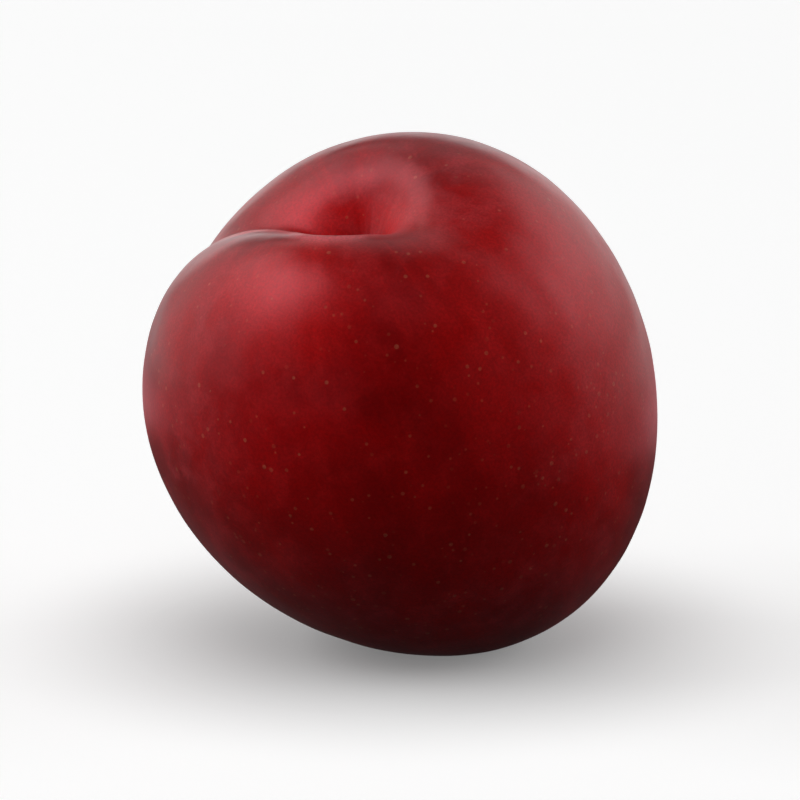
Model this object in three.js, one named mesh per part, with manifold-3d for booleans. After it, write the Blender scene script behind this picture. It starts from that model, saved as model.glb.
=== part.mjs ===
// A large red dessert plum, whole and without its stalk, resting tipped over on a small flat spot.
//
// Units are millimetres and +Z is up. The origin is the middle of the plum's box on the surface that it
// rests on. The fruit grew as one piece, so it is one closed solid: the belly, the hollow round the
// stem, the seam that runs from it down one side, the corky scars at both ends and the flat spot.
//
// The skin is a distance from the fruit's middle in every direction. A direction is a unit vector in the
// fruit's own frame: x towards the seam, y towards the front cheek and z out of the stem end.

import * as THREE from 'three';
import { mergeVertices } from 'three/addons/utils/BufferGeometryUtils.js';
import Module from 'manifold-3d';

// ---- the whole fruit, mm ----
const seamToBack = 60.6;
const cheekToCheek = 59.7;
const stemToTip = 64.9; // before the hollow is sunk into the stem end
const middleRadius = seamToBack / 2; // turns a width on the skin into a share of a direction

// ---- how it differs from an even egg, as shares of the radius ----
const shoulderFullness = 0.041; // the stem half is fuller than the tip half
const seamSideFullness = 0.099; // the side with the seam stands out at the waist
const seamShoulderLift = 0.031; // and its shoulder is higher
const flankFlatness = 0.02; // between the waist and the ends

// ---- the hollow round the stem, mm ----
const hollowDepth = 7.6;
const hollowToSeam = 17; // how far it reaches on each side of the stem
const hollowToBack = 14.5;
const hollowToFrontCheek = 6.4;
const hollowToRearCheek = 8.2;
const hollowSteepness = 1.8; // 2 would be a bell, 1 a cone
const pitDepth = 5.4; // of the narrow pit in its middle, where the stalk sat
const pitToSeam = 5.5;
const pitToBack = 6.5;
const pitToFrontCheek = 4.8;
const pitToRearCheek = 7;

// ---- the seam, mm: a narrow crease in a wider trough ----
const seamStart = 5; // from the stem
const seamStartBlur = 1.5; // how gently it starts
const seamDepthAtStem = 1.9;
const seamDepthBelow = 0.3;
const seamDeepReach = 0.8; // how far from the stem its deep part reaches, radians
const creaseToFrontCheek = 1.5; // half-widths of the crease
const creaseToRearCheek = 2.7;
const creaseShare = 0.55; // of the depth; the trough has the rest
const troughWidth = 3; // times the crease's

// ---- the scars of the stalk and of the blossom, mm ----
const stalkScarRadius = 2.4;
const stalkScarRise = 0.5;
const tipDimpleRadius = 3.2;
const tipDimpleDepth = 0.5;
const tipPointRadius = 1.0;
const tipPointRise = 0.5;

// ---- slow swells of the skin: height in mm, waves along each axis of the fruit, start in radians ----
const swells = [
  { height: 0.14, waves: new THREE.Vector3(2.6, 1.9, -1.4), start: 0.4 },
  { height: 0.1, waves: new THREE.Vector3(-1.8, 3.7, 2.2), start: 2.1 },
  { height: 0.06, waves: new THREE.Vector3(4.4, -2.5, 4.9), start: 4.0 },
];

// ---- how it lies, degrees and mm ----
const stemTilt = 26; // of the stem away from upright
const stemHeading = -140.5; // of the tilted stem, counted from +X towards +Y
const seamTurn = -73.8; // of the seam round the stem
const restDepth = 1.0; // how much the flat spot takes off the roundness

// ---- the skin's grid ----
const sectors = 96;
const rows = 46;
const sectorCrowding = 0.65; // crowds the columns together at the seam, most of all at the waist
const rowCrowding = 0.6; // and the rows together at both ends

/** 0 below the start, 1 past the end, and a smooth rise between. */
function smoothRise(value, start, end) {
  return THREE.MathUtils.smoothstep(value, start, end);
}

/** A bell-shaped bump of height 1 and the given half-width. */
function bell(distance, halfWidth) {
  return Math.exp(-((distance / halfWidth) ** 2));
}

/** Turns a width in mm on the skin into the same width in direction units. */
function asDirection(width) {
  return width / middleRadius;
}

/** The egg-shaped belly: an ellipsoid, then the few shares that make it lopsided. */
function bellyRadius({ x, y, z }) {
  const ellipsoid = 1 / Math.hypot((2 * x) / seamToBack, (2 * y) / cheekToCheek, (2 * z) / stemToTip);
  const waist = 1 - z * z;
  const lopsided = shoulderFullness * z * waist
    + seamSideFullness * x * waist
    + seamShoulderLift * x * z
    - flankFlatness * (z * z - 1 / 3) * waist;
  return ellipsoid * (1 + lopsided);
}

/** The hollow at the stem, a different width on each of its four sides. */
function hollow({ x, y, z }) {
  const widthX = asDirection(x > 0 ? hollowToSeam : hollowToBack);
  const widthY = asDirection(y > 0 ? hollowToFrontCheek : hollowToRearCheek);
  const fromStem = Math.hypot(x / widthX, y / widthY);
  return hollowDepth * Math.exp(-(fromStem ** hollowSteepness)) * smoothRise(z, -0.1, 0.5);
}

/** The narrow pit in the middle of the hollow, just as uneven. */
function pit({ x, y, z }) {
  if (z < 0) return 0;
  const widthX = asDirection(x > 0 ? pitToSeam : pitToBack);
  const widthY = asDirection(y > 0 ? pitToFrontCheek : pitToRearCheek);
  return pitDepth * bell(Math.hypot(x / widthX, y / widthY), 1);
}

/** The seam down one side of the fruit, deepest beside the hollow and gone before the tip. */
function seam({ x, y, z }) {
  const fromStem = Math.acos(THREE.MathUtils.clamp(z, -1, 1));
  const depth = seamDepthAtStem * bell(fromStem, seamDeepReach) + seamDepthBelow;
  const width = asDirection(y > 0 ? creaseToFrontCheek : creaseToRearCheek);
  const across = creaseShare * bell(y, width) + (1 - creaseShare) * bell(y, troughWidth * width);
  const started = 1 / (1 + Math.exp((asDirection(seamStart) - x) / asDirection(seamStartBlur)));
  const beforeTip = smoothRise(z, -1, -0.75);
  return depth * across * started * beforeTip;
}

/** The raised ring that the stalk leaves at the bottom of the hollow. */
function stalkScar({ x, y, z }) {
  if (z < 0) return 0;
  const fromStem = Math.hypot(x, y);
  return stalkScarRise * bell(fromStem - asDirection(stalkScarRadius), asDirection(stalkScarRadius / 2));
}

/** The dimple at the blossom end, with the hard point left in it. */
function tipScar({ x, y, z }) {
  if (z > 0) return 0;
  const fromTip = Math.hypot(x, y);
  return tipPointRise * bell(fromTip, asDirection(tipPointRadius))
    - tipDimpleDepth * bell(fromTip, asDirection(tipDimpleRadius));
}

/** The faint swells that no fruit is without. */
function swelling(direction) {
  const heights = swells.map(({ height, waves, start }) => height * Math.sin(waves.dot(direction) + start));
  return heights.reduce((sum, height) => sum + height, 0);
}

/** The distance from the middle of the fruit to its skin. */
function skinRadius(direction) {
  return bellyRadius(direction)
    - hollow(direction)
    - pit(direction)
    - seam(direction)
    + stalkScar(direction)
    + tipScar(direction)
    + swelling(direction);
}

/** The skin as a closed surface, its grid crowded where the seam and the two ends need it. */
function skinGeometry() {
  const geometry = new THREE.SphereGeometry(1, sectors, rows);
  const { position, uv } = geometry.attributes;
  const direction = new THREE.Vector3();
  for (let i = 0; i < position.count; i += 1) {
    const around = 2 * Math.PI * uv.getX(i);
    const down = Math.PI * (1 - uv.getY(i));
    const polar = down - (rowCrowding / 2) * Math.sin(2 * down);
    const azimuth = around - sectorCrowding * Math.sin(polar) * Math.sin(around);
    direction.set(Math.sin(polar) * Math.cos(azimuth), Math.sin(polar) * Math.sin(azimuth), Math.cos(polar));
    direction.multiplyScalar(skinRadius(direction));
    position.setXYZ(i, direction.x, direction.y, direction.z);
  }
  return geometry;
}

/** Tips the fruit over as it lies, and sets it so far down that the flat spot can be cut at height 0. */
function layDown(geometry) {
  const up = new THREE.Vector3(0, 0, 1);
  const side = new THREE.Vector3(0, 1, 0);
  const lying = new THREE.Quaternion()
    .setFromAxisAngle(up, THREE.MathUtils.degToRad(stemHeading))
    .multiply(new THREE.Quaternion().setFromAxisAngle(side, THREE.MathUtils.degToRad(stemTilt)))
    .multiply(new THREE.Quaternion().setFromAxisAngle(up, THREE.MathUtils.degToRad(seamTurn)));
  geometry.applyQuaternion(lying);
  geometry.computeBoundingBox();
  const { min, max } = geometry.boundingBox;
  geometry.translate(-(min.x + max.x) / 2, -(min.y + max.y) / 2, -min.z - restDepth);
  return geometry;
}

const wasm = await Module();
wasm.setup();

/** A closed three.js surface as a solid that can be cut. */
function asSolid(geometry) {
  const bare = geometry.clone();
  bare.deleteAttribute('normal');
  bare.deleteAttribute('uv');
  const merged = mergeVertices(bare);
  return new wasm.Manifold(new wasm.Mesh({
    numProp: 3,
    vertProperties: new Float32Array(merged.attributes.position.array),
    triVerts: new Uint32Array(merged.index.array),
  }));
}

/** A solid as a three.js surface. */
function asGeometry(solid) {
  const { vertProperties, triVerts } = solid.getMesh();
  const geometry = new THREE.BufferGeometry();
  geometry.setAttribute('position', new THREE.BufferAttribute(vertProperties, 3));
  geometry.setIndex(new THREE.BufferAttribute(triVerts, 1));
  geometry.computeVertexNormals();
  return geometry;
}

/** Everything below the surface that the fruit rests on. */
function belowTable() {
  const reach = 2 * stemToTip;
  return new THREE.BoxGeometry(reach, reach, reach).translate(0, 0, -reach / 2);
}

const skinMaterial = new THREE.MeshStandardMaterial({ color: 0x5e0a10, roughness: 0.34, metalness: 0 });

const fruit = asSolid(layDown(skinGeometry())).subtract(asSolid(belowTable()));
const plum = new THREE.Mesh(asGeometry(fruit), skinMaterial);
plum.name = 'plum';

const model = new THREE.Group();
model.add(plum);

export default model;
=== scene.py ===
"""A ripe red dessert plum without its stalk, lying tipped over on a pale studio floor.

The fruit is one closed skin, worked out as a distance from the fruit's middle in every direction. It is laid
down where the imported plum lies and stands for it. Everything is in metres unless a name says otherwise.
"""

import math

import bpy
import numpy as np
from bpy.props import FloatProperty, FloatVectorProperty, PointerProperty
from mathutils import Matrix, Vector


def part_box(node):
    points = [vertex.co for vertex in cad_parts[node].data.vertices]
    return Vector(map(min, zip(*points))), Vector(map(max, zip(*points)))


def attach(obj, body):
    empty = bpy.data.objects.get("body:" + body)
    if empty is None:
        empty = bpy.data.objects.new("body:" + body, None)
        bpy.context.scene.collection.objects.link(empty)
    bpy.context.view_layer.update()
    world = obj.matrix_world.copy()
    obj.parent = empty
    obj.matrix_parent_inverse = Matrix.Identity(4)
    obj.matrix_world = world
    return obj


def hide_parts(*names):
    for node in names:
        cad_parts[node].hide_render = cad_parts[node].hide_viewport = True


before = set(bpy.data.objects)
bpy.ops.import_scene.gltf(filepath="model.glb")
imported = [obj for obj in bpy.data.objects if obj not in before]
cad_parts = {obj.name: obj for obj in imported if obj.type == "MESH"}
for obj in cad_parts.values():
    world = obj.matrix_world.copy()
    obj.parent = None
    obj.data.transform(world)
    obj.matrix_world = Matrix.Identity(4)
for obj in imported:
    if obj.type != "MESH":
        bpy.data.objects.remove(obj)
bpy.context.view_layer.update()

bl_info = {
    "name": "Ripe Plum",
    "version": (1, 0, 0),
    "blender": (4, 5, 0),
    "location": "View3D > Sidebar > Plum",
    "description": "Grows a ripe red plum and lights it on a pale floor",
    "category": "Add Mesh",
}

MM = 0.001
CM = 0.01
PLUM_LOW, PLUM_HIGH = (np.array(corner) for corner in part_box("plum"))

# How the fruit lies: the stem's tilt from upright, the way it leans from +X towards +Y, and the seam's turn.
STEM_TILT = math.radians(26)
STEM_HEADING = math.radians(-140.5)
SEAM_TURN = math.radians(-73.8)
FLAT_SPOT_SOFTNESS = 0.2 * MM

# The grid of the skin: rows from stem to tip and sectors round it, crowded at both ends and at the seam.
ROWS = 200
SECTORS = 480
ROW_CROWDING = 0.6
SECTOR_CROWDING = 0.6

# How the belly differs from an even egg, as shares of its radius.
SHOULDER_FULLNESS = 0.041
SEAM_SIDE_FULLNESS = 0.099
SEAM_SHOULDER_LIFT = 0.031
FLANK_FLATNESS = 0.02

# The forms below are in mm, and so is a distance from the stem's axis. A height on the fruit is a share,
# from -1 at the tip to 1 at the stem.

# The hollow round the stem and the pit in its middle: how far they reach towards the seam, the back, the
# front cheek and the rear cheek.
HOLLOW_REACH = (17.0, 14.5, 6.4, 8.2)
HOLLOW_STEEPNESS = 1.8  # 2 would be a bell, 1 a cone
HOLLOW_STARTS = (-0.1, 0.5)  # the heights between which it fades in
PIT_REACH = (5.5, 6.5, 4.8, 7.0)
PIT_DEPTH = 5.4
PAINTED_PIT_SHADE_REACH = 6.0  # of the painted shade at its bottom

# The seam: a narrow crease in a wider trough, with a hairline at the bottom of the crease.
SEAM_START = 5.0
SEAM_START_BLUR = 1.5
SEAM_ENDS = (-1.0, -0.75)  # the heights between which it fades in from the tip
SEAM_DEPTH_BELOW = 0.3
SEAM_DEEP_REACH = 0.8  # radians from the stem
CREASE_TO_FRONT = 1.5
CREASE_TO_REAR = 2.7
CREASE_SHARE = 0.55  # of the depth, and the trough has the rest
TROUGH_WIDTH = 3  # times the crease's
HAIRLINE_WIDTH = 0.7
HAIRLINE_DEPTH = 0.08

# The lip: a thin raised fold just in front of the front edge of the hollow and the seam.
EDGE_TURN = -1.5  # where along x the edge is furthest from the seam's line
EDGE_AT_STEM = 6.5  # how far it is there
EDGE_AT_SEAM = 1.5  # and along the seam
EDGE_FALL = 6.8  # the half-width of the bell between them
EDGE_BACK_REACH = 7.2  # and of the ellipse on the far side of the turn
LIP_FADES_IN = (-7.6, -5.2)  # along x from the turn
LIP_FADES_OUT = (14.0, 22.0)
LIP_FORWARD = 1.5  # from the edge to the middle of the fold
LIP_WIDTH = 0.6
LIP_HEIGHT = 0.26
HIGHLIGHT_FORWARD = 1.8  # and to the middle of its painted highlight
HIGHLIGHT_WIDTH = 1.0

# The two scars: the stalk's ring with a hole and crumbs in it and wrinkles round it, and the dimple at the
# tip with a hard point in it. Cork is whole up to the first distance and ends at the second.
RING_RADIUS, RING_RISE = 2.4, 0.5
HOLE_RADIUS, HOLE_DEPTH = 1.1, 0.35
CRUMB_REACH, CRUMB_HEIGHT = 2.6, 0.08
WRINKLE_STARTS = (2.2, 4.5)
WRINKLE_REACH, WRINKLE_HEIGHT = 8.5, 0.02
DIMPLE_RADIUS, DIMPLE_DEPTH = 3.2, 0.5
POINT_RADIUS, POINT_RISE = 1.0, 0.5
STALK_CORK = (2.4, 3.2)
TIP_CORK = (0.7, 1.5)

# Slow swells of the skin: height, waves along the fruit's three axes, and where the wave starts.
SWELLS = (
    (0.14, (2.6, 1.9, -1.4), 0.4),
    (0.10, (-1.8, 3.7, 2.2), 2.1),
    (0.06, (4.4, -2.5, 4.9), 4.0),
)
# Ripples under the skin: how many, how short and how long they are, and their height as a share of that.
RIPPLE_COUNT = 40
RIPPLE_LENGTH = (3, 9)
RIPPLE_HEIGHT = 0.0006

# The two redder patches, partly blush and partly painted light: the side that hung in the sun and faces the
# right lamps, and part of the front shoulder under the left highlight. Their heading in the fruit's own
# frame, how far along it in cm the red starts and is full, and how strong it is.
BLUSH_AND_LIGHT_PATCHES = (
    ((-0.93, -0.20, 0.30), 1.6, 2.6, 0.7),
    ((-0.16, 0.49, 0.86), 2.85, 3.15, 0.5),
)
# Towards the front cheek, whose bloom is rubbed off and which is so left darker as painted shade,
# and how far along it in cm it thins out and is thinnest.
RUBBED_AND_SHADED_SIDE = (-0.58, 0.76, 0.28)
RUBBED_AND_SHADED_REACH = (1.2, 2.9)

# How strongly each marking covers what lies under it. The pit's and the seam's are painted shade, the lip's
# a painted highlight.
STREAK_COVER = 0.22
FLECK_COVER = 0.25
PIT_SHADE_COVER = 0.8
SEAM_SHADE_COVER = 0.25
DOT_COVER = 0.17
LIP_HIGHLIGHT_COVER = 0.8
SPECK_COVER = 0.3

BLACK = (0.0, 0.0, 0.0)
WHITE = (1.0, 1.0, 1.0)
DARK_CORK = (0.07, 0.03, 0.015)

# The floor, in metres. Each look of it fades in or out between two distances from the middle.
FLOOR_REACH = 12.0
FLOOR_SIDES = 96
FLOOR_TO_WHITE = (0.25, 2.5)
SHADE_FADES = (0.005, 0.055)
BACK_GLOW_STARTS = (0.08, 0.35)
BACK_GLOW = 0.6
RED_RING_STARTS = (0.092, 0.122)
RED_RING_ENDS = (0.14, 0.22)
RED_RING_COLOUR = (0.95, 0.38, 0.43)
BEHIND = (-0.15, 0.25)  # along Y, where the glow and the ring fade in

# The soft lamps: name, azimuth in degrees from the camera's side towards +X, elevation in degrees, width and
# height in metres, power in watts, and whether it lights the skin itself or shows in its gloss.
LAMPS = (
    ("left_lamp", -95, 30, (2.0, 1.6), 36, "skin"),
    ("right_lamp", 98, 22, (1.8, 1.4), 18.5, "skin"),
    ("top_lamp", 0, 60, (1.6, 1.6), 11.5, "skin"),
    ("low_left_lamp", -42, 8, (2.0, 0.8), 9.5, "skin"),
    ("low_right_lamp", 50, 6, (1.6, 0.8), 3.5, "skin"),
    ("left_window", -112, 28, (3.8, 2.4), 20, "gloss"),
    ("left_pane", -77, 44, (1.2, 1.0), 11, "gloss"),
    ("rear_pane", -111, 41, (1.2, 1.0), 5, "gloss"),
    ("right_window", 122, 25, (2.9, 2.0), 17, "gloss"),
    ("right_pane", 112, 38, (1.8, 1.8), 7, "gloss"),
    ("back_window", 180, 8, (2.4, 0.9), 7.5, "gloss"),
    ("back_pane", 180, 50, (2.0, 1.6), 4, "gloss"),
)
LAMP_DISTANCE = 2.5
AIM = Vector((0, 0, 30 * MM))  # what the camera and the lamps face, close to the plum's middle


# ---------------------------------------------------------------- settings

class PlumShape(bpy.types.PropertyGroup):
    """The sizes of the fruit."""

    seam_to_back: FloatProperty(
        name="Seam to Back", description="Width from the seam to the side opposite",
        default=60.6 * MM, min=10 * MM, unit="LENGTH")
    cheek_to_cheek: FloatProperty(
        name="Cheek to Cheek", description="Width across the two cheeks",
        default=59.7 * MM, min=10 * MM, unit="LENGTH")
    stem_to_tip: FloatProperty(
        name="Stem to Tip", description="Length before the hollow is sunk into the stem end",
        default=64.9 * MM, min=10 * MM, unit="LENGTH")
    hollow_depth: FloatProperty(
        name="Hollow Depth", description="Depth of the hollow round the stem",
        default=7.6 * MM, min=0, unit="LENGTH")
    seam_depth: FloatProperty(
        name="Seam Depth", description="Depth of the seam beside the hollow",
        default=1.9 * MM, min=0, unit="LENGTH")
    rest_depth: FloatProperty(
        name="Flat Spot", description="How much the flat spot underneath takes off the roundness",
        default=1.0 * MM, min=0, unit="LENGTH")


class PlumSkin(bpy.types.PropertyGroup):
    """The colours and the finish of the skin."""

    # The deep colour is also painted as shade in the pit and along the seam's hairline.
    deep_and_shade_colour: FloatVectorProperty(
        name="Deep", description="Colour of the darkest skin",
        subtype="COLOR", size=3, min=0, max=1, default=(0.30, 0.0006, 0.001))
    ripe_colour: FloatVectorProperty(
        name="Ripe", description="Colour of most of the skin",
        subtype="COLOR", size=3, min=0, max=1, default=(0.43, 0.001, 0.0015))
    # Blush for the streaks and flecks, and for the redder patches, which partly paint light.
    blush_and_light_colour: FloatVectorProperty(
        name="Blush", description="Colour of the redder patches, the streaks and the flecks",
        subtype="COLOR", size=3, min=0, max=1, default=(0.74, 0.006, 0.005))
    # Redder skin in the hollow, lightened as painted light bounced between its walls.
    hollow_and_bounce_colour: FloatVectorProperty(
        name="Hollow", description="Colour of the skin in the hollow",
        subtype="COLOR", size=3, min=0, max=1, default=(0.70, 0.002, 0.002))
    # A painted highlight along the crest of the lip.
    lip_highlight_colour: FloatVectorProperty(
        name="Lip", description="Colour of the thin fold along the front edge of the hollow and the seam",
        subtype="COLOR", size=3, min=0, max=1, default=(1.0, 0.16, 0.18))
    cork_colour: FloatVectorProperty(
        name="Cork", description="Colour of the scars at the stem and the tip",
        subtype="COLOR", size=3, min=0, max=1, default=(0.26, 0.14, 0.065))
    dot_colour: FloatVectorProperty(
        name="Dots", description="Colour of the pores",
        subtype="COLOR", size=3, min=0, max=1, default=(0.85, 0.42, 0.22))
    bloom_colour: FloatVectorProperty(
        name="Bloom", description="Colour of the thin wax on the skin",
        subtype="COLOR", size=3, min=0, max=1, default=(0.55, 0.27, 0.32))
    bloom: FloatProperty(
        name="Bloom Cover", description="How much the wax shows",
        subtype="FACTOR", default=0.10, min=0, max=1)
    dots_per_cm: FloatProperty(
        name="Dots per cm", description="Cells along one centimetre of skin, each of which may hold a pore",
        default=10.0, min=1, max=40)


class PlumStudio(bpy.types.PropertyGroup):
    """The floor, the lights and the camera."""

    floor_colour: FloatVectorProperty(
        name="Floor", description="Colour of the floor",
        subtype="COLOR", size=3, min=0, max=1, default=(0.52, 0.52, 0.52))
    camera_elevation: FloatProperty(
        name="Camera Elevation", description="Angle at which the camera looks down",
        subtype="ANGLE", default=math.radians(14))
    camera_distance: FloatProperty(
        name="Camera Distance", description="From the camera to the middle of the plum",
        default=0.9, min=0.1, unit="LENGTH")
    picture_width: FloatProperty(
        name="Picture Width", description="Width of what the camera sees at the plum",
        default=96 * MM, min=10 * MM, unit="LENGTH")


# ---------------------------------------------------------------- the form of the fruit

def bell(distance, half_width):
    """A bump of height 1: e to the power of minus the square of distance over half_width."""
    return np.exp(-((distance / half_width) ** 2))


def smooth_rise(value, start, end):
    """0 below start, 1 past end, and between them 3 t squared minus 2 t cubed."""
    t = np.clip((value - start) / (end - start), 0, 1)
    return t * t * (3 - 2 * t)


def fruit_directions(rows, sectors):
    """Unit vectors from the fruit's middle, stem pole first and tip pole last, row by row between them.

    The polar angle is the even angle minus a sine of its double, which crowds the rows at both poles. The
    azimuth is the even angle minus a sine of it, weighted by the sine of the polar angle, which crowds the
    sectors along the seam at azimuth 0.
    """
    down = np.linspace(0, math.pi, rows + 1)[1:-1, None]
    around = np.linspace(0, 2 * math.pi, sectors, endpoint=False)[None, :]
    polar = down - ROW_CROWDING / 2 * np.sin(2 * down)
    azimuth = around - SECTOR_CROWDING * np.sin(polar) * np.sin(around)
    level = np.sin(polar)
    grid = np.stack([level * np.cos(azimuth), level * np.sin(azimuth), np.cos(polar) + 0 * azimuth], axis=-1)
    return np.concatenate([[(0, 0, 1)], grid.reshape(-1, 3), [(0, 0, -1)]])


def grid_faces(rows, sectors):
    """Quads between neighbouring rows and a fan of triangles round each pole, all facing outwards."""
    column = np.arange(sectors)
    following = (column + 1) % sectors
    first = 1 + np.arange(rows - 2)[:, None] * sectors
    quads = np.stack(
        [first + column, first + sectors + column, first + sectors + following, first + following], axis=-1)
    last_row = 1 + (rows - 2) * sectors
    tip = last_row + sectors
    stem_fan = np.stack([0 * column, 1 + column, 1 + following], axis=-1)
    tip_fan = np.stack([last_row + column, 0 * column + tip, last_row + following], axis=-1)
    return stem_fan.tolist() + quads.reshape(-1, 4).tolist() + tip_fan.tolist()


class Fruit:
    """The plum's skin over a set of directions, in mm and in the fruit's own frame.

    x points towards the seam, y towards the front cheek and z out of the stem end.
    """

    def __init__(self, shape, directions):
        self.shape = shape
        self.directions = directions
        self.x, self.y, self.z = directions.T
        self.middle_radius = shape.seam_to_back / MM / 2
        self.from_axis = np.hypot(self.x, self.y) * self.middle_radius

    def share(self, width):
        """A width in mm on the skin as a share of a direction."""
        return width / self.middle_radius

    def belly(self):
        """An ellipsoid, times 1 plus four small terms: fuller at the stem half, fuller and higher on the
        seam side, and flatter between the waist and the ends."""
        x, y, z, shape = self.x, self.y, self.z, self.shape
        half = np.array([shape.seam_to_back, shape.cheek_to_cheek, shape.stem_to_tip]) / MM / 2
        ellipsoid = 1 / np.sqrt((x / half[0]) ** 2 + (y / half[1]) ** 2 + (z / half[2]) ** 2)
        waist = 1 - z * z
        lopsided = (
            SHOULDER_FULLNESS * z * waist
            + SEAM_SIDE_FULLNESS * x * waist
            + SEAM_SHOULDER_LIFT * x * z
            - FLANK_FLATNESS * (z * z - 1 / 3) * waist
        )
        return ellipsoid * (1 + lopsided)

    def from_stem(self, reach):
        """Distance from the stem: x and y, each divided by the reach on its own side, as the two legs of a
        right angle."""
        to_seam, to_back, to_front, to_rear = (self.share(side) for side in reach)
        reach_x = np.where(self.x > 0, to_seam, to_back)
        reach_y = np.where(self.y > 0, to_front, to_rear)
        return np.hypot(self.x / reach_x, self.y / reach_y)

    def hollow(self):
        """Share of the hollow's depth: e to the power of minus the distance from the stem, which is itself
        raised to the power of the steepness, times a smooth rise with height."""
        depth = np.exp(-self.from_stem(HOLLOW_REACH) ** HOLLOW_STEEPNESS)
        return depth * smooth_rise(self.z, *HOLLOW_STARTS)

    def pit(self):
        """Depth of the narrow pit at the bottom of the hollow: a bell of the distance from the stem."""
        return np.where(self.z > 0, PIT_DEPTH * bell(self.from_stem(PIT_REACH), 1), 0)

    def painted_pit_shade(self):
        """Mask of the painted shade at the bottom of the pit: 1 there, and a bell of the distance from the
        axis.
        """
        return np.where(self.z > 0, bell(self.from_axis, PAINTED_PIT_SHADE_REACH), 0)

    def seam_side(self):
        """1 along the seam's half of the fruit, from beside the stalk's scar to short of the tip: 1 over 1
        plus e to the power of the way left to the start along x, times a smooth rise out of the tip."""
        side = 1 / (1 + np.exp((self.share(SEAM_START) - self.x) / self.share(SEAM_START_BLUR)))
        return side * smooth_rise(self.z, *SEAM_ENDS)

    def seam(self):
        """Depth of the seam: a narrow bell plus a wide one across it, times a depth that falls like a bell
        from the stem down to the depth it keeps below."""
        polar = np.arccos(np.clip(self.z, -1, 1))
        depth = self.shape.seam_depth / MM * bell(polar, SEAM_DEEP_REACH) + SEAM_DEPTH_BELOW
        width = self.share(np.where(self.y > 0, CREASE_TO_FRONT, CREASE_TO_REAR))
        crease = CREASE_SHARE * bell(self.y, width)
        trough = (1 - CREASE_SHARE) * bell(self.y, TROUGH_WIDTH * width)
        return depth * (crease + trough) * self.seam_side()

    def seam_line(self):
        """1 on the hairline at the bottom of the seam, and a bell across it. The skin paints shade along it.
        """
        return bell(self.y, self.share(HAIRLINE_WIDTH)) * self.seam_side()

    def lip(self, forward, half_width):
        """1 along a line that lies forward mm in front of the edge of the hollow and the seam, and a bell of
        half_width mm across it.

        The edge's y falls like a bell from beside the stem to along the seam, and like an ellipse behind the
        stem. The way to it along y is divided by the root of 1 plus the square of its slope, so that the
        bell is as wide where the edge runs slantwise.
        """
        x, y = self.x * self.middle_radius - EDGE_TURN, self.y * self.middle_radius
        fall = (EDGE_AT_STEM - EDGE_AT_SEAM) * bell(x, EDGE_FALL)
        ellipse = np.sqrt(np.clip(1 - (x / EDGE_BACK_REACH) ** 2, 0.03, 1))  # above 0, because it divides
        edge = np.where(x > 0, EDGE_AT_SEAM + fall, EDGE_AT_STEM * ellipse)
        slope_of_fall = 2 * fall * x / EDGE_FALL ** 2
        slope_of_ellipse = EDGE_AT_STEM * x / EDGE_BACK_REACH ** 2 / ellipse
        slope = np.where(x > 0, slope_of_fall, slope_of_ellipse)
        along = smooth_rise(x, *LIP_FADES_IN) * (1 - smooth_rise(x, *LIP_FADES_OUT)) * (self.z > 0)
        return bell((y - edge - forward) / np.hypot(1, slope), half_width) * along

    def stalk_scar(self):
        """Height of the ring that the stalk leaves: a bell across the ring, less a bell for the hole, plus
        crumbs, which are a sine round the stem times a sine outwards."""
        angle = np.arctan2(self.y, self.x)
        ring = RING_RISE * bell(self.from_axis - RING_RADIUS, RING_RADIUS / 2)
        hole = HOLE_DEPTH * bell(self.from_axis, HOLE_RADIUS)
        crumbs = CRUMB_HEIGHT * np.sin(11 * angle + 3 * self.from_axis) * np.sin(4.1 * self.from_axis)
        return np.where(self.z > 0, ring - hole + crumbs * bell(self.from_axis, CRUMB_REACH), 0)

    def stem_wrinkles(self):
        """Fine folds up the hollow's walls: 17 sine waves round the stem, which wander a little, plus 29
        half as high. They start outside the stalk's ring and fade out like a bell."""
        angle = np.arctan2(self.y, self.x)
        folds = np.sin(17 * angle + 1.3 * np.sin(3 * angle)) + 0.5 * np.sin(29 * angle + 0.7)
        along = smooth_rise(self.from_axis, *WRINKLE_STARTS) * bell(self.from_axis, WRINKLE_REACH)
        return np.where(self.z > 0, WRINKLE_HEIGHT * folds * along, 0)

    def tip_scar(self):
        """The dimple at the blossom end, a bell, with the hard point left in it, a narrower bell."""
        dimple = DIMPLE_DEPTH * bell(self.from_axis, DIMPLE_RADIUS)
        point = POINT_RISE * bell(self.from_axis, POINT_RADIUS)
        return np.where(self.z < 0, point - dimple, 0)

    def swelling(self):
        """Sum of the slow swells: height times the sine of the waves along the direction plus the start."""
        total = np.zeros(len(self.directions))
        for height, waves, start in SWELLS:
            total += height * np.sin(self.directions @ np.array(waves) + start)
        return total

    def ripples(self):
        """Faint unevenness under the skin: the sum of plane waves with seeded headings and lengths, each as
        high as a small share of its length."""
        draw = np.random.default_rng(11)
        total = np.zeros(len(self.directions))
        for _ in range(RIPPLE_COUNT):
            heading = draw.normal(size=3)
            heading /= np.linalg.norm(heading)
            length = draw.uniform(*RIPPLE_LENGTH)
            start = draw.uniform(0, 2 * math.pi)
            waves = self.directions @ heading * self.middle_radius / length
            total += length * np.sin(2 * math.pi * waves + start)
        return RIPPLE_HEIGHT * total

    def radius(self):
        """Distance from the middle to the skin, in mm."""
        return (
            self.belly()
            - self.shape.hollow_depth / MM * self.hollow()
            - self.pit()
            - self.seam()
            - HAIRLINE_DEPTH * self.seam_line()
            + LIP_HEIGHT * self.lip(LIP_FORWARD, LIP_WIDTH)
            + self.stalk_scar()
            + self.stem_wrinkles()
            + self.tip_scar()
            + self.swelling()
            + self.ripples()
        )

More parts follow.
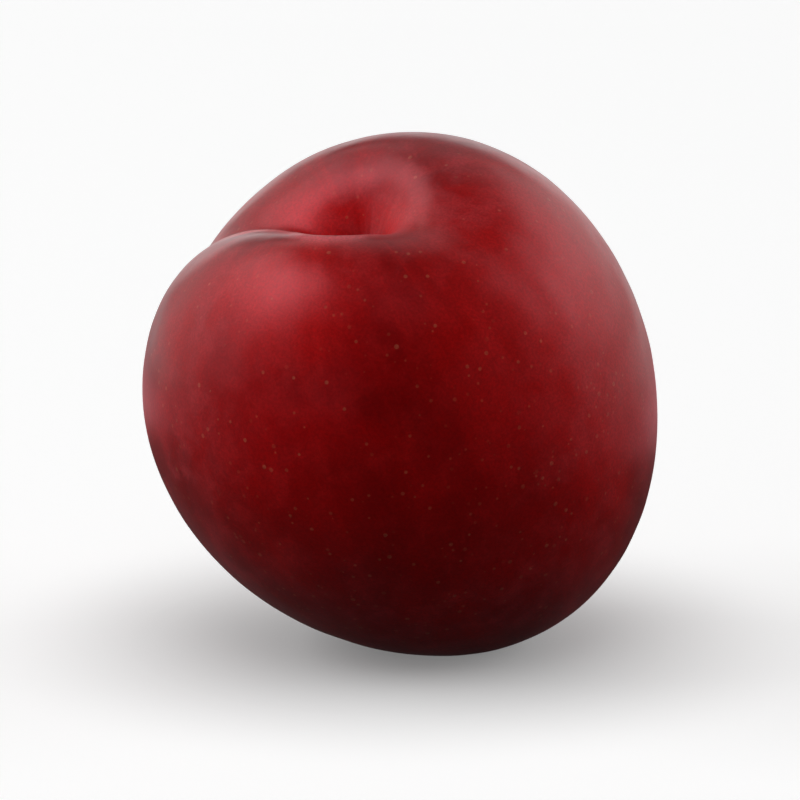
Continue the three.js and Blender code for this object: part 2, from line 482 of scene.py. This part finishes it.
    def cork(self):
        """1 on the two scars and 0 on the skin: a smooth fall with the distance from the axis, to which two
        sines round it are added, so that the edge is ragged."""
        angle = np.arctan2(self.y, self.x)
        ragged = 0.25 * np.sin(5 * angle) + 0.15 * np.sin(9 * angle + 1)
        stalk = (1 - smooth_rise(self.from_axis + ragged, *STALK_CORK)) * (self.z > 0)
        tip = (1 - smooth_rise(self.from_axis + ragged / 2, *TIP_CORK)) * (self.z < 0)
        return stalk + tip


def lay_down(points, rest_depth):
    """Points of the fruit, in metres, turned as it lies, set on the floor and pressed flat underneath.

    The pressed height is half the sum of the height and the root of its square plus the square of a
    softness, so the flat spot has a soft edge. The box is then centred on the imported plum's.
    """
    turn = Matrix.Rotation(STEM_HEADING, 3, "Z") @ Matrix.Rotation(STEM_TILT, 3, "Y")
    turn = turn @ Matrix.Rotation(SEAM_TURN, 3, "Z")
    lying = points @ np.array(turn).T
    height = lying[:, 2] - lying[:, 2].min() - rest_depth
    pressed = (height + np.hypot(height, FLAT_SPOT_SOFTNESS)) / 2
    lying[:, 2] = pressed - pressed.min() + PLUM_LOW[2]
    middle = (lying.min(axis=0) + lying.max(axis=0)) / 2
    lying[:, :2] += ((PLUM_LOW + PLUM_HIGH) / 2 - middle)[:2]
    return lying


def add_attribute(mesh, name, values):
    """Stores one number or one vector at each vertex."""
    kind = "FLOAT_VECTOR" if values.ndim == 2 else "FLOAT"
    field = "vector" if values.ndim == 2 else "value"
    attribute = mesh.attributes.new(name, kind, "POINT")
    attribute.data.foreach_set(field, np.ascontiguousarray(values, dtype=np.float32).ravel())


def grow_fruit(shape):
    """The plum as one closed mesh, with what its skin needs to know stored at each vertex."""
    fruit = Fruit(shape, fruit_directions(ROWS, SECTORS))
    own = fruit.directions * fruit.radius()[:, None] * MM
    mesh = bpy.data.meshes.new("plum_fruit")
    mesh.from_pydata(lay_down(own, shape.rest_depth).tolist(), [], grid_faces(ROWS, SECTORS))
    mesh.shade_smooth()
    add_attribute(mesh, "place_cm", own / CM)
    add_attribute(mesh, "hollow", fruit.hollow())
    # The pit's mask carries painted shade at the bottom of the hollow.
    add_attribute(mesh, "pit", fruit.painted_pit_shade())
    # The seam's mask carries painted shade along the hairline.
    add_attribute(mesh, "seam", fruit.seam_line())
    # The lip's mask carries its painted highlight.
    add_attribute(mesh, "lip", fruit.lip(HIGHLIGHT_FORWARD, HIGHLIGHT_WIDTH))
    add_attribute(mesh, "cork", fruit.cork())
    mesh.update()
    piece = bpy.data.objects.new("plum_fruit", mesh)
    bpy.context.scene.collection.objects.link(piece)
    return piece


# ---------------------------------------------------------------- materials

class Nodes:
    """Adds nodes to a tree. A value that is itself an output is linked, and any other is set."""

    def __init__(self, owner):
        owner.use_nodes = True
        self.tree = owner.node_tree
        self.count = 0

    def add(self, kind, sockets=None, **settings):
        """A new node, set out in rows of nine."""
        node = self.tree.nodes.new(kind)
        node.location = (-1800 + 190 * (self.count % 9), 400 - 260 * (self.count // 9))
        self.count += 1
        for name, value in settings.items():
            setattr(node, name, value)
        for name, value in (sockets or {}).items():
            self.feed(node.inputs[name], value)
        return node

    def feed(self, socket, value):
        """Links an output to the socket, or sets the socket to a value."""
        if isinstance(value, bpy.types.NodeSocket):
            self.tree.links.new(value, socket)
        else:
            socket.default_value = value

    def attribute(self, name, output="Fac"):
        """What is stored at the mesh's vertices under that name."""
        return self.add("ShaderNodeAttribute", attribute_name=name).outputs[output]

    def math(self, operation, *values, clamp=False):
        """Arithmetic on numbers."""
        node = self.add("ShaderNodeMath", dict(enumerate(values)), operation=operation, use_clamp=clamp)
        return node.outputs["Value"]

    def product(self, first, *others):
        """All the numbers multiplied."""
        for other in others:
            first = self.math("MULTIPLY", first, other)
        return first

    def vector(self, operation, *values, output="Vector"):
        """Arithmetic on vectors."""
        node = self.add("ShaderNodeVectorMath", dict(enumerate(values)), operation=operation)
        return node.outputs[output]

    def along(self, place, heading):
        """How far a place lies along a heading."""
        return self.vector("DOT_PRODUCT", place, heading, output="Value")

    def noise(self, place, scale, detail, roughness, distortion=0.0):
        """Cloudy noise from 0 to 1."""
        sockets = {"Vector": place, "Scale": scale, "Detail": detail, "Roughness": roughness,
                   "Distortion": distortion}
        return self.add("ShaderNodeTexNoise", sockets).outputs["Fac"]

    def rise(self, value, start, end, low=0.0, high=1.0):
        """low where value is below start, high past end, and a smooth step between."""
        sockets = {"Value": value, "From Min": start, "From Max": end, "To Min": low, "To Max": high}
        return self.add("ShaderNodeMapRange", sockets, interpolation_type="SMOOTHSTEP").outputs["Result"]

    def mix(self, factor, a, b):
        """Colour a where factor is 0 and colour b where it is 1."""
        node = self.add("ShaderNodeMix", data_type="RGBA")
        self.feed(node.inputs["Factor"], factor)
        self.feed(node.inputs["A"], opaque(a))
        self.feed(node.inputs["B"], opaque(b))
        return node.outputs["Result"]


def opaque(colour):
    """A colour as four numbers. An output stays as it is."""
    if isinstance(colour, bpy.types.NodeSocket):
        return colour
    return (*colour, 1.0)


def pigment(nodes, place, skin):
    """The skin's colour: deep to ripe in slow patches, then the redder patches with ragged edges, which are
    partly blush and partly painted light, then streaks that run from the stem to the tip, and flecks."""
    ripeness = nodes.noise(place, scale=0.5, detail=3.0, roughness=0.55, distortion=0.6)
    colour = nodes.mix(nodes.rise(ripeness, 0.36, 0.66), skin.deep_and_shade_colour, skin.ripe_colour)

    # Streaks are noise that changes fast round the fruit and slowly along it.
    outwards = nodes.vector("NORMALIZE", nodes.vector("MULTIPLY", place, (1, 1, 0)))
    around = nodes.vector("MULTIPLY", outwards, (6, 6, 6))
    down = nodes.vector("MULTIPLY", place, (0, 0, 0.35))
    streak_place = nodes.vector("ADD", around, down)
    streaks = nodes.noise(streak_place, scale=1.0, detail=3.0, roughness=0.6, distortion=0.3)
    ragged = nodes.math("MULTIPLY_ADD", streaks, 0.9, -0.45)
    # Redder patches: partly blush, partly painted light where the right lamps and the left highlight fall.
    for heading, start, full, strength in BLUSH_AND_LIGHT_PATCHES:
        reach = nodes.math("MULTIPLY_ADD", ragged, full - start, nodes.along(place, heading))
        colour = nodes.mix(nodes.rise(reach, start, full, 0.0, strength), colour, skin.blush_and_light_colour)
    colour = nodes.mix(nodes.rise(streaks, 0.46, 0.72, 0.0, STREAK_COVER), colour, skin.blush_and_light_colour)
    flecks = nodes.noise(place, scale=2.6, detail=4.0, roughness=0.6, distortion=0.4)
    return nodes.mix(nodes.rise(flecks, 0.48, 0.70, 0.0, FLECK_COVER), colour, skin.blush_and_light_colour)


def pores(nodes, place, skin):
    """How much each spot of the skin is a pale pore, from 0 to 1.

    A pore is what lies within a short way of a cell's point. Its size, its strength and whether the cell has
    one at all come from the cell's own random colour, and more cells have one towards the tip.
    """
    cells = nodes.add("ShaderNodeTexVoronoi", {"Vector": place, "Scale": skin.dots_per_cm}).outputs
    channels = nodes.add("ShaderNodeSeparateColor", {"Color": cells["Color"]}).outputs
    size = nodes.math("MULTIPLY_ADD", channels["Green"], 0.16, 0.14)
    dot = nodes.rise(nodes.math("SUBTRACT", size, cells["Distance"]), -0.06, 0.08)
    empty = nodes.rise(nodes.along(place, (0, 0, 1)), -2.5, 2.8, 0.45, 0.8)
    chosen = nodes.math("GREATER_THAN", channels["Red"], empty)
    strength = nodes.math("MULTIPLY_ADD", channels["Blue"], 0.8, 0.2)
    return nodes.product(dot, chosen, strength)


def wax_bloom(nodes, place):
    """How thickly the pale wax lies, from 0 to 1: in wide patches broken up by small ones, and rubbed thin
    on the front cheek, which also paints that cheek darker as shade."""
    wide = nodes.noise(place, scale=0.7, detail=2.0, roughness=0.5, distortion=0.4)
    small = nodes.noise(place, scale=2.6, detail=5.0, roughness=0.62, distortion=0.3)
    wide = nodes.rise(wide, 0.3, 0.65, 0.35, 1.0)
    small = nodes.rise(small, 0.36, 0.66, 0.15, 1.0)
    # Thinner wax on the front cheek: partly rubbed off, partly painted shade.
    unrubbed_unshaded = nodes.rise(nodes.along(place, RUBBED_AND_SHADED_SIDE), *RUBBED_AND_SHADED_REACH, 1.0, 0.12)
    return nodes.product(wide, small, unrubbed_unshaded)


def skin_material(skin):
    """Smooth dark skin with pale pores, fine dark specks and a thin uneven wax bloom, redder in the hollow
    and lightened there as painted bounced light, with painted shade in the pit and along the seam's
    hairline, a painted highlight along the lip, and corky at the two scars."""
    material = bpy.data.materials.new("plum_skin")
    nodes = Nodes(material)
    shader = nodes.tree.nodes["Principled BSDF"]
    place = nodes.attribute("place_cm", "Vector")
    hollow = nodes.attribute("hollow")
    pit = nodes.attribute("pit")
    seam = nodes.attribute("seam")
    lip = nodes.attribute("lip")
    cork = nodes.attribute("cork")

    colour = pigment(nodes, place, skin)
    # The hollow: redder skin, partly lightened as painted bounced light.
    colour = nodes.mix(nodes.rise(hollow, 0.3, 0.85), colour, skin.hollow_and_bounce_colour)
    # Painted shade: the deep colour at the bottom of the pit.
    colour = nodes.mix(nodes.rise(pit, 0.3, 0.9, 0.0, PIT_SHADE_COVER), colour, skin.deep_and_shade_colour)
    # Painted shade: the deep colour along the hairline at the bottom of the seam.
    colour = nodes.mix(nodes.product(seam, SEAM_SHADE_COVER), colour, skin.deep_and_shade_colour)
    dots = pores(nodes, place, skin)
    colour = nodes.mix(nodes.product(dots, DOT_COVER), colour, skin.dot_colour)
    wax = wax_bloom(nodes, place)
    colour = nodes.mix(nodes.product(wax, skin.bloom), colour, skin.bloom_colour)
    # Painted highlight along the crest of the lip.
    colour = nodes.mix(nodes.product(lip, LIP_HIGHLIGHT_COVER), colour, skin.lip_highlight_colour)
    grain = nodes.noise(place, scale=14.0, detail=3.0, roughness=0.6)
    cork_colour = nodes.mix(nodes.rise(grain, 0.35, 0.65), DARK_CORK, skin.cork_colour)
    colour = nodes.mix(cork, colour, cork_colour)
    specks = nodes.noise(place, scale=30.0, detail=3.0, roughness=0.65)
    colour = nodes.mix(nodes.rise(specks, 0.3, 0.7, SPECK_COVER, 0.0), colour, BLACK)

    roughness = nodes.math("MULTIPLY_ADD", wax, 0.10, 0.29)
    roughness = nodes.math("MULTIPLY_ADD", cork, 0.45, roughness, clamp=True)

    height = nodes.product(nodes.noise(place, scale=26.0, detail=2.0, roughness=0.5), 0.35)
    height = nodes.math("MULTIPLY_ADD", dots, 0.6, height)
    height = nodes.math("MULTIPLY_ADD", nodes.product(grain, cork), 6.0, height)
    bump = nodes.add("ShaderNodeBump", {"Strength": 0.5, "Distance": 0.02 * MM, "Height": height})

    nodes.feed(shader.inputs["Base Color"], colour)
    nodes.feed(shader.inputs["Roughness"], roughness)
    nodes.feed(shader.inputs["Normal"], bump.outputs["Normal"])
    shader.inputs["IOR"].default_value = 1.45
    shader.inputs["Specular IOR Level"].default_value = 1.0
    shader.inputs["Specular Tint"].default_value = (1.0, 0.21, 0.26, 1.0)
    shader.inputs["Coat Weight"].default_value = 0.04
    shader.inputs["Coat Roughness"].default_value = 0.22
    shader.inputs["Sheen Weight"].default_value = 0.08
    shader.inputs["Sheen Roughness"].default_value = 0.4
    shader.inputs["Sheen Tint"].default_value = (1.0, 0.82, 0.88, 1.0)
    shader.inputs["Subsurface Weight"].default_value = 0.2
    shader.inputs["Subsurface Radius"].default_value = (3.0, 0.35, 0.25)
    shader.inputs["Subsurface Scale"].default_value = MM
    return material


def grey(value):
    """A grey of the given brightness."""
    return (value, value, value)


def floor_material(studio):
    """A matt pale floor that looks different to the camera and to the fruit.

    The camera sees it bright, with a soft shade under the fruit, and fading into the white behind it. The
    fruit sees it dark close by, with a red ring behind itself and white further back, which give its sides
    and its top a rim of light.
    """
    material = bpy.data.materials.new("studio_floor")
    nodes = Nodes(material)
    shader = nodes.tree.nodes["Principled BSDF"]
    seen = nodes.add("ShaderNodeLightPath").outputs["Is Camera Ray"]
    place = nodes.add("ShaderNodeTexCoord").outputs["Object"]
    distance = nodes.vector("LENGTH", place, output="Value")
    far = nodes.rise(distance, *FLOOR_TO_WHITE)
    colour = nodes.mix(seen, grey(0.05), studio.floor_colour)

    to_camera = nodes.mix(nodes.rise(distance, *SHADE_FADES), grey(0.17), grey(0.68))
    to_camera = nodes.mix(far, to_camera, WHITE)

    behind = nodes.rise(nodes.along(place, (0, 1, 0)), *BEHIND)
    glow = nodes.product(nodes.rise(distance, *BACK_GLOW_STARTS), behind, BACK_GLOW)
    ring = nodes.product(
        nodes.rise(distance, *RED_RING_STARTS), nodes.rise(distance, *RED_RING_ENDS, 1.0, 0.0), behind)
    to_fruit = nodes.mix(glow, BLACK, WHITE)
    to_fruit = nodes.mix(ring, to_fruit, RED_RING_COLOUR)

    nodes.feed(shader.inputs["Base Color"], nodes.mix(far, colour, BLACK))
    nodes.feed(shader.inputs["Emission Color"], nodes.mix(seen, to_fruit, to_camera))
    shader.inputs["Emission Strength"].default_value = 1.0
    shader.inputs["Roughness"].default_value = 0.9
    shader.inputs["Specular IOR Level"].default_value = 0.1
    return material


# ---------------------------------------------------------------- the studio

def add_soft_light(name, azimuth, elevation, size, power, lights):
    """A rectangular lamp that faces the plum and either lights the skin itself or shows in its gloss."""
    lamp = bpy.data.lights.new(name, "AREA")
    lamp.shape = "RECTANGLE"
    lamp.size, lamp.size_y = size
    lamp.energy = power
    turn, rise = math.radians(azimuth), math.radians(elevation)
    heading = Vector((math.cos(rise) * math.sin(turn), -math.cos(rise) * math.cos(turn), math.sin(rise)))
    light = bpy.data.objects.new(name, lamp)
    light.location = AIM + heading * LAMP_DISTANCE
    light.rotation_euler = heading.to_track_quat("Z", "Y").to_euler()
    light.visible_camera = False
    light.visible_diffuse = lights == "skin"
    light.visible_glossy = lights == "gloss"
    bpy.context.scene.collection.objects.link(light)


def set_world():
    """White behind everything that the camera sees, and a dim even fill for the rest."""
    world = bpy.data.worlds.new("studio")
    nodes = Nodes(world)
    background = nodes.tree.nodes["Background"]
    seen = nodes.add("ShaderNodeLightPath").outputs["Is Camera Ray"]
    nodes.feed(background.inputs["Color"], nodes.mix(seen, grey(0.02), WHITE))
    bpy.context.scene.world = world


def add_floor(studio):
    """A round floor, one flat polygon, far wider than what the camera sees."""
    turn = np.linspace(0, 2 * math.pi, FLOOR_SIDES, endpoint=False)
    rim = FLOOR_REACH * np.stack([np.cos(turn), np.sin(turn), 0 * turn], axis=-1)
    mesh = bpy.data.meshes.new("floor")
    mesh.from_pydata(rim.tolist(), [], [list(range(FLOOR_SIDES))])
    mesh.materials.append(floor_material(studio))
    floor = bpy.data.objects.new("floor", mesh)
    bpy.context.scene.collection.objects.link(floor)


def add_camera(studio):
    """A long lens in front of the plum, looking down at it."""
    data = bpy.data.cameras.new("camera")
    data.lens = data.sensor_width * studio.camera_distance / studio.picture_width
    data.clip_start = 0.01
    rise = studio.camera_elevation
    back = Vector((0, -math.cos(rise), math.sin(rise)))
    camera = bpy.data.objects.new("camera", data)
    camera.location = AIM + back * studio.camera_distance
    camera.rotation_euler = back.to_track_quat("Z", "Y").to_euler()
    bpy.context.scene.collection.objects.link(camera)
    bpy.context.scene.camera = camera


# ---------------------------------------------------------------- operators, panel and main

class PLUM_OT_grow_fruit(bpy.types.Operator):
    """Grow the plum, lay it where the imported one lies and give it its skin"""

    bl_idname = "plum.grow_fruit"
    bl_label = "Grow the Fruit"
    bl_options = {"REGISTER", "UNDO"}

    def execute(self, context):
        piece = grow_fruit(context.scene.plum_shape)
        piece.data.materials.append(skin_material(context.scene.plum_skin))
        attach(piece, "root")
        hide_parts("plum")
        return {"FINISHED"}


class PLUM_OT_set_studio(bpy.types.Operator):
    """Lay the pale floor, hang the soft lights and set the camera"""

    bl_idname = "plum.set_studio"
    bl_label = "Set the Studio"
    bl_options = {"REGISTER", "UNDO"}

    def execute(self, context):
        studio = context.scene.plum_studio
        add_camera(studio)
        add_floor(studio)
        for lamp in LAMPS:
            add_soft_light(*lamp)
        set_world()
        context.scene.view_settings.view_transform = "Standard"
        return {"FINISHED"}


class PLUM_PT_panel(bpy.types.Panel):
    """The plum's settings in the 3D view's sidebar"""

    bl_idname = "PLUM_PT_panel"
    bl_label = "Ripe Plum"
    bl_space_type = "VIEW_3D"
    bl_region_type = "UI"
    bl_category = "Plum"

    def draw(self, context):
        layout = self.layout
        scene = context.scene
        for group, operator in (
            (scene.plum_shape, None),
            (scene.plum_skin, PLUM_OT_grow_fruit),
            (scene.plum_studio, PLUM_OT_set_studio),
        ):
            box = layout.box()
            for name in group.__annotations__:
                box.prop(group, name)
            if operator:
                box.operator(operator.bl_idname)


CLASSES = (PlumShape, PlumSkin, PlumStudio, PLUM_OT_grow_fruit, PLUM_OT_set_studio, PLUM_PT_panel)
SETTINGS = {"plum_shape": PlumShape, "plum_skin": PlumSkin, "plum_studio": PlumStudio}


def register():
    for item in CLASSES:
        bpy.utils.register_class(item)
    for name, group in SETTINGS.items():
        setattr(bpy.types.Scene, name, PointerProperty(type=group))


def unregister():
    for name in SETTINGS:
        delattr(bpy.types.Scene, name)
    for item in reversed(CLASSES):
        bpy.utils.unregister_class(item)


def main():
    register()
    bpy.ops.plum.set_studio()
    bpy.ops.plum.grow_fruit()


if __name__ == "__main__":
    main()
